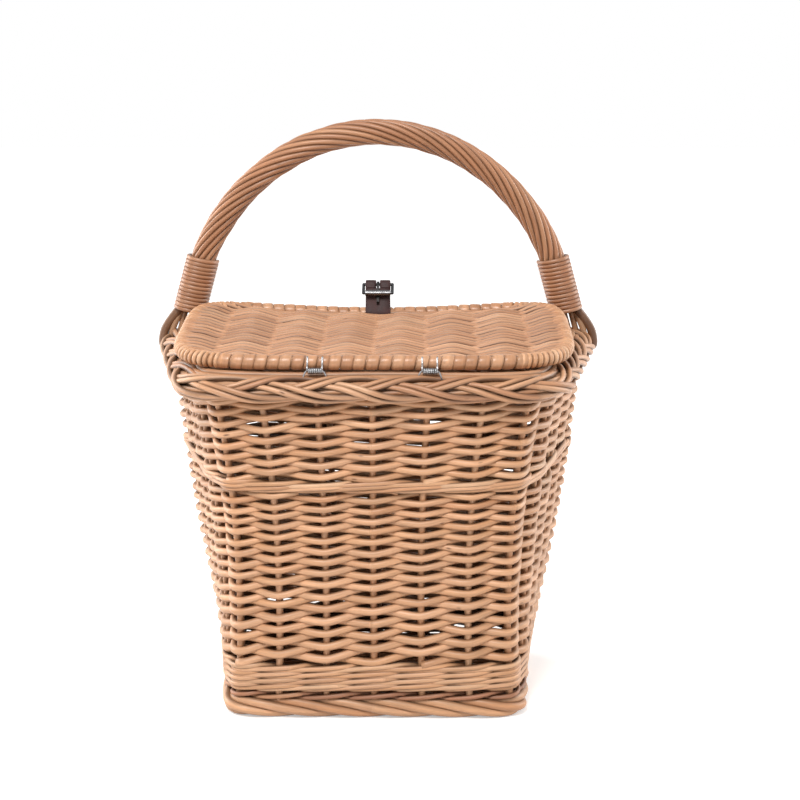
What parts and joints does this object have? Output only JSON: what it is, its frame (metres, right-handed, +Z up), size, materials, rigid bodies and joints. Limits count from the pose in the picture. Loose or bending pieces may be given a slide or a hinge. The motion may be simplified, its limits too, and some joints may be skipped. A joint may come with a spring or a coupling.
{
  "type": "picnic basket",
  "caption": "Tapered woven willow picnic basket with a plaited rim, a hinged woven lid, a roped bow handle with bound feet and a leather strap with a roller buckle.",
  "frame": {"origin": "middle of the footprint, on the ground under the foot border", "axes": "+Z up, -Y to the hinge side that the picture shows, +Y to the strap side, +X to the right in the picture"},
  "size_m": [0.423, 0.2676, 0.5268],
  "materials": {
    "willow": "buff willow rods, satin",
    "pale_willow": "split willow skein, satin",
    "leather": "dark brown strap leather",
    "nickel": "bright nickel wire"
  },
  "bodies": {
    "basket": {"base_panel": "willow", "foot_border": "willow", "wall_weave": "willow", "top_border": "willow", "handle_rope": "willow", "handle_binding_left": "pale_willow", "handle_binding_right": "pale_willow", "handle_legs_left": "pale_willow", "handle_legs_right": "pale_willow", "hinge_pin_left": "nickel", "hinge_pin_right": "nickel", "front_strap": "leather", "front_rivet": "nickel"},
    "lid": {"lid_weave": "willow", "lid_rim": "pale_willow", "hinge_coil_left": "nickel", "hinge_coil_right": "nickel", "lid_strap": "leather"},
    "buckle": {"buckle_frame": "nickel"},
    "roller": {"buckle_roller": "nickel"},
    "prong": {"buckle_prong": "nickel"}
  },
  "joints": [
    {"name": "lid_hinge", "type": "hinge", "parent": "basket", "child": "lid", "pos_m": [0, -0.11775, 0.3289], "axis": [1, 0, 0], "range_deg": [0, 110]},
    {"name": "buckle_swing", "type": "hinge", "parent": "lid", "child": "buckle", "pos_m": [0, 0.11357, 0.36633], "axis": [-1, 0, 0], "range_deg": [0, 245]},
    {"name": "roller_spin", "type": "hinge", "parent": "buckle", "child": "roller", "pos_m": [0, 0.09986, 0.36023], "axis": [1, 0, 0], "continuous": true},
    {"name": "prong_swing", "type": "hinge", "parent": "buckle", "child": "prong", "pos_m": [0, 0.11357, 0.36633], "axis": [1, 0, 0], "range_deg": [0, 73.5]}
  ],
  "couplings": [
    {"joint": "prong_swing", "follows": "buckle_swing", "ratio": 0.3}
  ]
}
